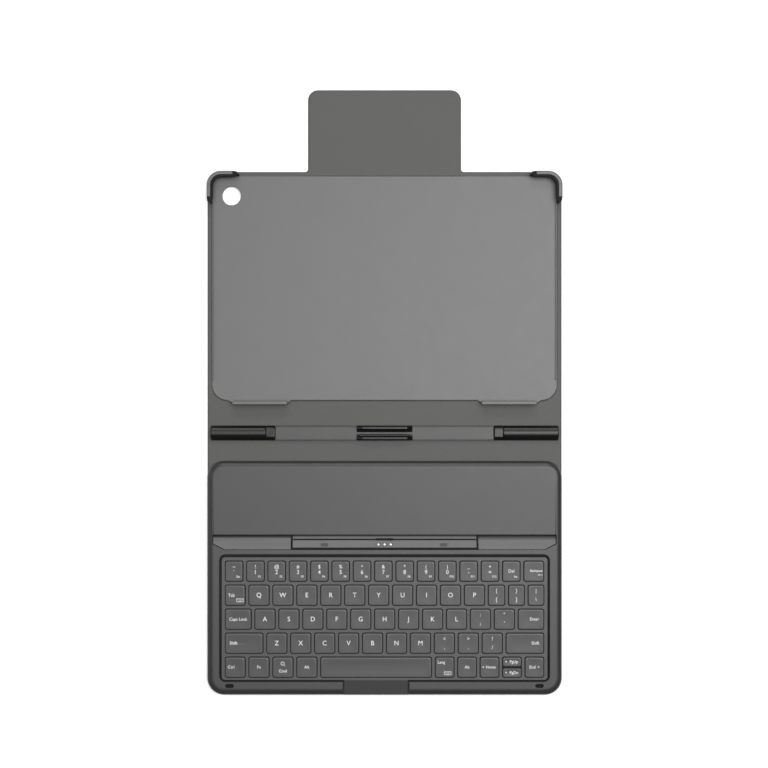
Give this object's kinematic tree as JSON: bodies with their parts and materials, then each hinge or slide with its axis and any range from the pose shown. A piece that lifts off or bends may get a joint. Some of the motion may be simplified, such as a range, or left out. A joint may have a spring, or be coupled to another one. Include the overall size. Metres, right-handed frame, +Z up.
{
  "type": "tablet keyboard case",
  "caption": "Folding cover for an eleven-inch-class tablet: tablet tray, stylus holder, magnetic closure tongue and a keyboard with a groove and sprung contacts to dock the tablet.",
  "frame": {"origin": "centre of the underside of the whole case, lying open and flat", "axes": "+X to the user's right, +Y from the keyboard's front edge to the closure tongue, +Z up out of the keys"},
  "size_m": [0.2614, 0.4458, 0.0117],
  "materials": {
    "cover": "warm grey coated fabric, fine grain, matt",
    "shell": "satin moulded grey",
    "deck": "satin painted dark grey",
    "key_plate": "matt dark grey",
    "keycap": "matt dark grey with pale legends",
    "dock": "satin grey",
    "black": "semi-gloss black",
    "bumper": "soft black polymer",
    "rubber": "matt black",
    "steel": "plain",
    "gold": "polished gold plating",
    "circuit_board": "green lacquer",
    "membrane": "dark silicone"
  },
  "bodies": {
    "keyboard": {"base_cover": "cover", "bottom_case": "deck", "deck_frame": "deck", "key_plate": "key_plate", "key_support_plate": "steel", "dome_membrane": "membrane", "controller_board": "circuit_board", "dock_bar": "dock", "dock_ledge_left": "dock", "dock_ledge_right": "dock", "dock_magnet_left": "steel", "dock_magnet_right": "steel", "pogo_block": "black", "rubber_foot_left": "rubber", "rubber_foot_right": "rubber"},
    "spine": {"spine_board": "cover", "stylus_channel": "deck", "stylus_cap_left": "black", "stylus_cap_right": "black", "stylus_clip": "black"},
    "strut": {"strut_board": "cover"},
    "lid": {"lid_board": "cover", "tablet_shell": "shell", "corner_bumper_left": "bumper", "corner_bumper_right": "bumper"},
    "tongue_wrap": {"tongue_wrap_board": "cover"},
    "tongue_end": {"tongue_end_board": "cover", "tongue_magnet": "steel"},
    "key_alt_left": {"key_alt_left": "keycap"},
    "key_alt_right": {"key_alt_right": "keycap"},
    "key_b": {"key_b": "keycap"},
    "key_c": {"key_c": "keycap"},
    "key_caps_lock": {"key_caps_lock": "keycap"},
    "key_cmd": {"key_cmd": "keycap"},
    "key_comma": {"key_comma": "keycap"},
    "key_ctrl": {"key_ctrl": "keycap"},
    "key_end": {"key_end": "keycap"},
    "key_enter": {"key_enter": "keycap"},
    "key_fn": {"key_fn": "keycap"},
    "key_home": {"key_home": "keycap"},
    "key_language": {"key_language": "keycap"},
    "key_m": {"key_m": "keycap"},
    "key_n": {"key_n": "keycap"},
    "key_page_down": {"key_page_down": "keycap"},
    "key_page_up": {"key_page_up": "keycap"},
    "key_period": {"key_period": "keycap"},
    "key_shift_left": {"key_shift_left": "keycap"},
    "key_shift_right": {"key_shift_right": "keycap"},
    "key_slash": {"key_slash": "keycap"},
    "key_space": {"key_space": "keycap"},
    "key_tab": {"key_tab": "keycap"},
    "key_v": {"key_v": "keycap"},
    "key_x": {"key_x": "keycap"},
    "key_z": {"key_z": "keycap"},
    "keys_home_row": {"keys_home_row": "keycap"},
    "keys_number_row": {"keys_number_row": "keycap"},
    "keys_upper_row": {"keys_upper_row": "keycap"},
    "pogo_pin_centre": {"pogo_pin_centre": "gold"},
    "pogo_pin_left": {"pogo_pin_left": "gold"},
    "pogo_pin_right": {"pogo_pin_right": "gold"}
  },
  "joints": [
    {"name": "spine_fold", "type": "hinge", "parent": "keyboard", "child": "spine", "pos_m": [0, -0.0377, 0.002], "axis": [-1, 0, 0], "range_deg": [-90, 0]},
    {"name": "strut_fold", "type": "hinge", "parent": "spine", "child": "strut", "pos_m": [0, -0.0207, 0.002], "axis": [1, 0, 0], "range_deg": [0, 126]},
    {"name": "lid_crease", "type": "hinge", "parent": "strut", "child": "lid", "pos_m": [0, 0.0712, 0], "axis": [-1, 0, 0], "range_deg": [0, 59.5]},
    {"name": "wrap_fold", "type": "hinge", "parent": "lid", "child": "tongue_wrap", "pos_m": [0, 0.1656, 0.002], "axis": [1, 0, 0], "range_deg": [0, 90]},
    {"name": "end_fold", "type": "hinge", "parent": "tongue_wrap", "child": "tongue_end", "pos_m": [0, 0.1852, 0.002], "axis": [1, 0, 0], "range_deg": [0, 90]},
    {"name": "pogo_pin_centre_travel", "type": "slide", "parent": "keyboard", "child": "pogo_pin_centre", "axis": [0, -0.3987, -0.9171], "range_m": [0, 0.0008], "stiffness_N_per_m": 600, "springref_m": -0.0005},
    {"name": "pogo_pin_left_travel", "type": "slide", "parent": "keyboard", "child": "pogo_pin_left", "axis": [0, -0.3987, -0.9171], "range_m": [0, 0.0008], "stiffness_N_per_m": 600, "springref_m": -0.0005},
    {"name": "pogo_pin_right_travel", "type": "slide", "parent": "keyboard", "child": "pogo_pin_right", "axis": [0, -0.3987, -0.9171], "range_m": [0, 0.0008], "stiffness_N_per_m": 600, "springref_m": -0.0005},
    {"name": "key_alt_left_travel", "type": "slide", "parent": "keyboard", "child": "key_alt_left", "axis": [0, 0, -1], "range_m": [0, 0.0012], "stiffness_N_per_m": 400, "springref_m": -0.0005},
    {"name": "key_alt_right_travel", "type": "slide", "parent": "keyboard", "child": "key_alt_right", "axis": [0, 0, -1], "range_m": [0, 0.0012], "stiffness_N_per_m": 400, "springref_m": -0.0005},
    {"name": "key_b_travel", "type": "slide", "parent": "keyboard", "child": "key_b", "axis": [0, 0, -1], "range_m": [0, 0.0012], "stiffness_N_per_m": 400, "springref_m": -0.0005},
    {"name": "key_c_travel", "type": "slide", "parent": "keyboard", "child": "key_c", "axis": [0, 0, -1], "range_m": [0, 0.0012], "stiffness_N_per_m": 400, "springref_m": -0.0005},
    {"name": "key_caps_lock_travel", "type": "slide", "parent": "keyboard", "child": "key_caps_lock", "axis": [0, 0, -1], "range_m": [0, 0.0012], "stiffness_N_per_m": 400, "springref_m": -0.0005},
    {"name": "key_cmd_travel", "type": "slide", "parent": "keyboard", "child": "key_cmd", "axis": [0, 0, -1], "range_m": [0, 0.0012], "stiffness_N_per_m": 400, "springref_m": -0.0005},
    {"name": "key_comma_travel", "type": "slide", "parent": "keyboard", "child": "key_comma", "axis": [0, 0, -1], "range_m": [0, 0.0012], "stiffness_N_per_m": 400, "springref_m": -0.0005},
    {"name": "key_ctrl_travel", "type": "slide", "parent": "keyboard", "child": "key_ctrl", "axis": [0, 0, -1], "range_m": [0, 0.0012], "stiffness_N_per_m": 400, "springref_m": -0.0005},
    {"name": "key_end_travel", "type": "slide", "parent": "keyboard", "child": "key_end", "axis": [0, 0, -1], "range_m": [0, 0.0012], "stiffness_N_per_m": 400, "springref_m": -0.0005},
    {"name": "key_enter_travel", "type": "slide", "parent": "keyboard", "child": "key_enter", "axis": [0, 0, -1], "range_m": [0, 0.0012], "stiffness_N_per_m": 400, "springref_m": -0.0005},
    {"name": "key_fn_travel", "type": "slide", "parent": "keyboard", "child": "key_fn", "axis": [0, 0, -1], "range_m": [0, 0.0012], "stiffness_N_per_m": 400, "springref_m": -0.0005},
    {"name": "key_home_travel", "type": "slide", "parent": "keyboard", "child": "key_home", "axis": [0, 0, -1], "range_m": [0, 0.0012], "stiffness_N_per_m": 400, "springref_m": -0.0005},
    {"name": "key_language_travel", "type": "slide", "parent": "keyboard", "child": "key_language", "axis": [0, 0, -1], "range_m": [0, 0.0012], "stiffness_N_per_m": 400, "springref_m": -0.0005},
    {"name": "key_m_travel", "type": "slide", "parent": "keyboard", "child": "key_m", "axis": [0, 0, -1], "range_m": [0, 0.0012], "stiffness_N_per_m": 400, "springref_m": -0.0005},
    {"name": "key_n_travel", "type": "slide", "parent": "keyboard", "child": "key_n", "axis": [0, 0, -1], "range_m": [0, 0.0012], "stiffness_N_per_m": 400, "springref_m": -0.0005},
    {"name": "key_page_down_travel", "type": "slide", "parent": "keyboard", "child": "key_page_down", "axis": [0, 0, -1], "range_m": [0, 0.0012], "stiffness_N_per_m": 400, "springref_m": -0.0005},
    {"name": "key_page_up_travel", "type": "slide", "parent": "keyboard", "child": "key_page_up", "axis": [0, 0, -1], "range_m": [0, 0.0012], "stiffness_N_per_m": 400, "springref_m": -0.0005},
    {"name": "key_period_travel", "type": "slide", "parent": "keyboard", "child": "key_period", "axis": [0, 0, -1], "range_m": [0, 0.0012], "stiffness_N_per_m": 400, "springref_m": -0.0005},
    {"name": "key_shift_left_travel", "type": "slide", "parent": "keyboard", "child": "key_shift_left", "axis": [0, 0, -1], "range_m": [0, 0.0012], "stiffness_N_per_m": 400, "springref_m": -0.0005},
    {"name": "key_shift_right_travel", "type": "slide", "parent": "keyboard", "child": "key_shift_right", "axis": [0, 0, -1], "range_m": [0, 0.0012], "stiffness_N_per_m": 400, "springref_m": -0.0005},
    {"name": "key_slash_travel", "type": "slide", "parent": "keyboard", "child": "key_slash", "axis": [0, 0, -1], "range_m": [0, 0.0012], "stiffness_N_per_m": 400, "springref_m": -0.0005},
    {"name": "key_space_travel", "type": "slide", "parent": "keyboard", "child": "key_space", "axis": [0, 0, -1], "range_m": [0, 0.0012], "stiffness_N_per_m": 400, "springref_m": -0.0005},
    {"name": "key_tab_travel", "type": "slide", "parent": "keyboard", "child": "key_tab", "axis": [0, 0, -1], "range_m": [0, 0.0012], "stiffness_N_per_m": 400, "springref_m": -0.0005},
    {"name": "key_v_travel", "type": "slide", "parent": "keyboard", "child": "key_v", "axis": [0, 0, -1], "range_m": [0, 0.0012], "stiffness_N_per_m": 400, "springref_m": -0.0005},
    {"name": "key_x_travel", "type": "slide", "parent": "keyboard", "child": "key_x", "axis": [0, 0, -1], "range_m": [0, 0.0012], "stiffness_N_per_m": 400, "springref_m": -0.0005},
    {"name": "key_z_travel", "type": "slide", "parent": "keyboard", "child": "key_z", "axis": [0, 0, -1], "range_m": [0, 0.0012], "stiffness_N_per_m": 400, "springref_m": -0.0005},
    {"name": "keys_home_row_travel", "type": "slide", "parent": "keyboard", "child": "keys_home_row", "axis": [0, 0, -1], "range_m": [0, 0.0012], "stiffness_N_per_m": 400, "springref_m": -0.0005},
    {"name": "keys_number_row_travel", "type": "slide", "parent": "keyboard", "child": "keys_number_row", "axis": [0, 0, -1], "range_m": [0, 0.0012], "stiffness_N_per_m": 400, "springref_m": -0.0005},
    {"name": "keys_upper_row_travel", "type": "slide", "parent": "keyboard", "child": "keys_upper_row", "axis": [0, 0, -1], "range_m": [0, 0.0012], "stiffness_N_per_m": 400, "springref_m": -0.0005}
  ]
}
